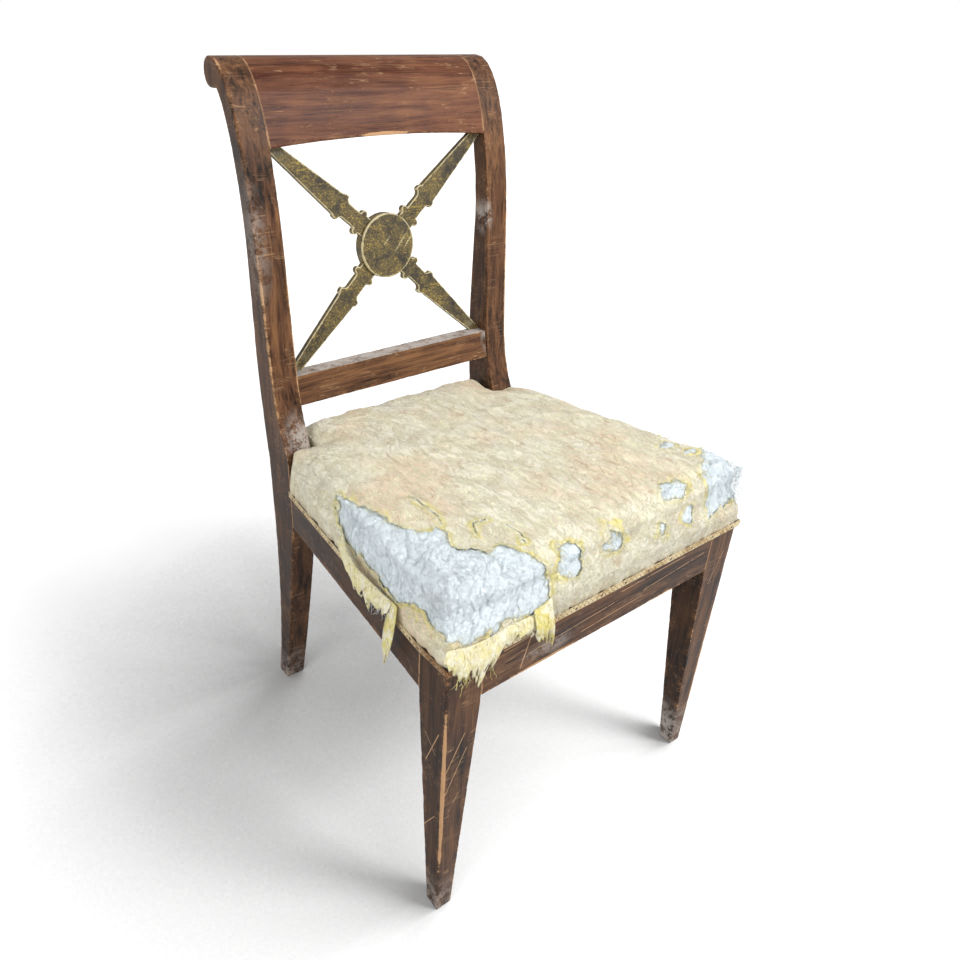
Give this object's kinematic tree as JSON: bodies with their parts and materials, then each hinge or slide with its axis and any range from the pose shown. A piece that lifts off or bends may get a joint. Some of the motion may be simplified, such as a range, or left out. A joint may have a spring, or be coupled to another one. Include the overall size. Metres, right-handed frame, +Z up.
{
  "type": "broken side chair",
  "caption": "Old wooden side chair: rolled-over back, splat of spears round a disc, square tapered front legs, swept rear legs, and a stuffed seat with a torn cover and bare wadding.",
  "frame": {"origin": "centre of the chair's outer box, at floor level", "axes": "+X to the right seen from the front, +Y to the back, +Z up"},
  "size_m": [0.4653, 0.522, 0.887],
  "materials": {
    "frame_wood": "dark stained wood, worn through to bare wood along the edges, scratched and dusty",
    "crest_wood": "dark stained wood with a long grain, rubbed to red brown in the middle",
    "splat_bronze": "carved wood under worn bronze paint",
    "block_wood": "unfinished old softwood",
    "steel": "dull, darkened",
    "webbing": "woven jute",
    "hessian": "coarse plain weave",
    "stuffing": "matted fibre",
    "wadding": "white cotton wadding, matted",
    "cover": "faded cream cloth with a woven figure, wrinkled, stained and torn",
    "gimp": "narrow braid, soiled"
  },
  "bodies": {
    "root": {"front_leg_left": "frame_wood", "front_leg_right": "frame_wood", "rear_leg_left": "frame_wood", "rear_leg_right": "frame_wood", "front_seat_rail": "frame_wood", "rear_seat_rail": "frame_wood", "side_seat_rail_left": "frame_wood", "side_seat_rail_right": "frame_wood", "crest_rail": "crest_wood", "lower_back_rail": "frame_wood", "splat_disc": "splat_bronze", "splat_spear_upper_left": "splat_bronze", "splat_spear_upper_right": "splat_bronze", "splat_spear_lower_left": "splat_bronze", "splat_spear_lower_right": "splat_bronze", "corner_block_front_left": "block_wood", "corner_block_front_right": "block_wood", "corner_block_rear_left": "block_wood", "corner_block_rear_right": "block_wood", "corner_screws": "steel", "webbing_lengthwise": "webbing", "webbing_crosswise": "webbing", "webbing_tacks": "steel", "base_cloth": "hessian", "seat_stuffing": "stuffing", "seat_wadding": "wadding", "seat_cover": "cover", "gimp_braid": "gimp", "gimp_pins": "steel"}
  },
  "joints": []
}
